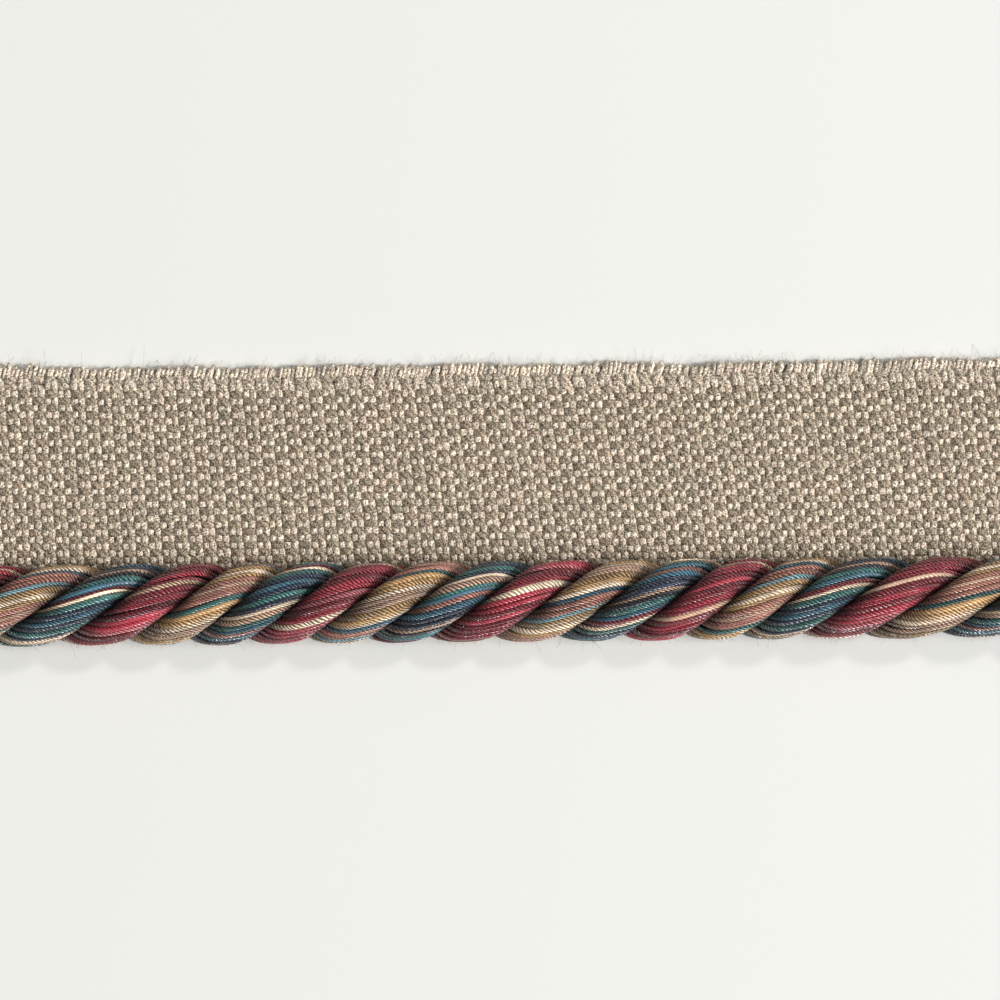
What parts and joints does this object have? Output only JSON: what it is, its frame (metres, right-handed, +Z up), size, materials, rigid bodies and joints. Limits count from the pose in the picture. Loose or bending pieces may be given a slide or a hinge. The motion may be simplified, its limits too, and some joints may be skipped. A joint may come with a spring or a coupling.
{
  "type": "flanged cord trim",
  "caption": "Twisted multicolour furnishing cord with a flat woven tape along one side, to be sewn into the seam of a cushion or cover.",
  "frame": {"origin": "under the middle of the whole trim, on the surface that it lies on", "axes": "+X along the trim, +Y from the cord to the tape's free edge, +Z up from the surface to the face side"},
  "size_m": [0.1324, 0.0284, 0.008],
  "materials": {
    "tape_weave": "matt plain weave, dark taupe yarns along the tape and paired cream yarns across it",
    "red_yarn": "soft sheen, burgundy and rose yarns with a few of cream",
    "gold_yarn": "soft sheen, ochre, tan and mauve yarns with teal and cream among them",
    "teal_yarn": "soft sheen, teal and navy yarns with a few of cream"
  },
  "bodies": {
    "root": {"flange_tape": "tape_weave", "cord_ply_red": "red_yarn", "cord_ply_gold": "gold_yarn", "cord_ply_teal": "teal_yarn"}
  },
  "joints": []
}
